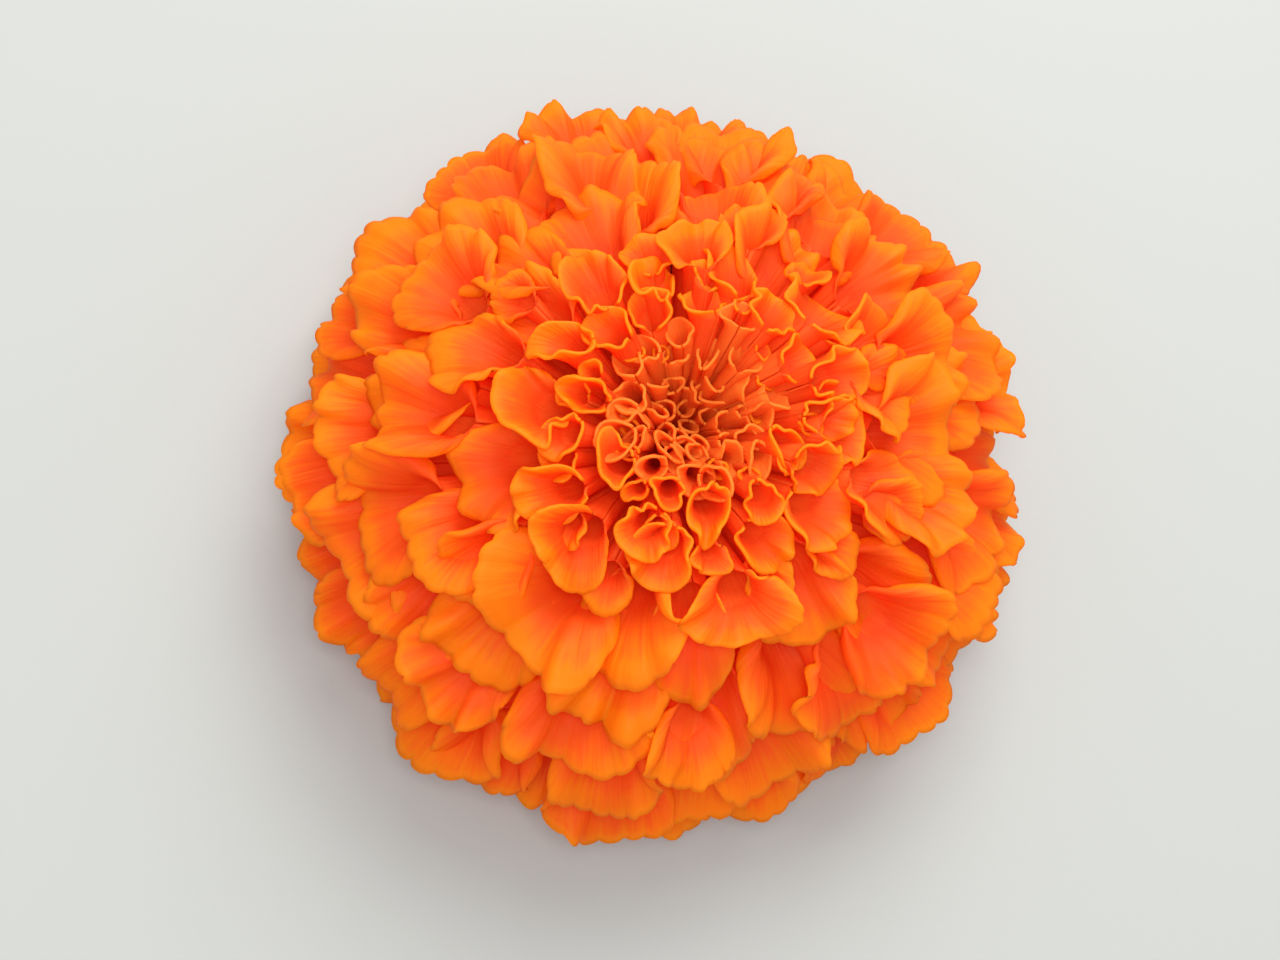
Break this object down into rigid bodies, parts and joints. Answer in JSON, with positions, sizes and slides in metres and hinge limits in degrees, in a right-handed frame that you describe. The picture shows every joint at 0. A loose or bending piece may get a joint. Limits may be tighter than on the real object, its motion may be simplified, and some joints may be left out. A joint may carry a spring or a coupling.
{
  "type": "marigold flower",
  "caption": "Fully double orange marigold flower head with ruffled overlapping ray florets, a sunken centre of small tubular florets, a green bract cup and a short stalk stub.",
  "frame": {"origin": "on the surface the head rests on, under the middle of its outline", "axes": "+Z out of the face of the flower, along its axis; X and Y are two directions across the head"},
  "size_m": [0.095, 0.0956, 0.047],
  "materials": {
    "ray_petals": "matte, slightly translucent petal",
    "disc_petals": "matte petal",
    "green_bracts": "satin leaf",
    "green_stalk": "satin leaf"
  },
  "bodies": {
    "root": {"ray_florets": "ray_petals", "disc_florets": "disc_petals", "involucre": "green_bracts", "peduncle": "green_stalk"}
  },
  "joints": []
}
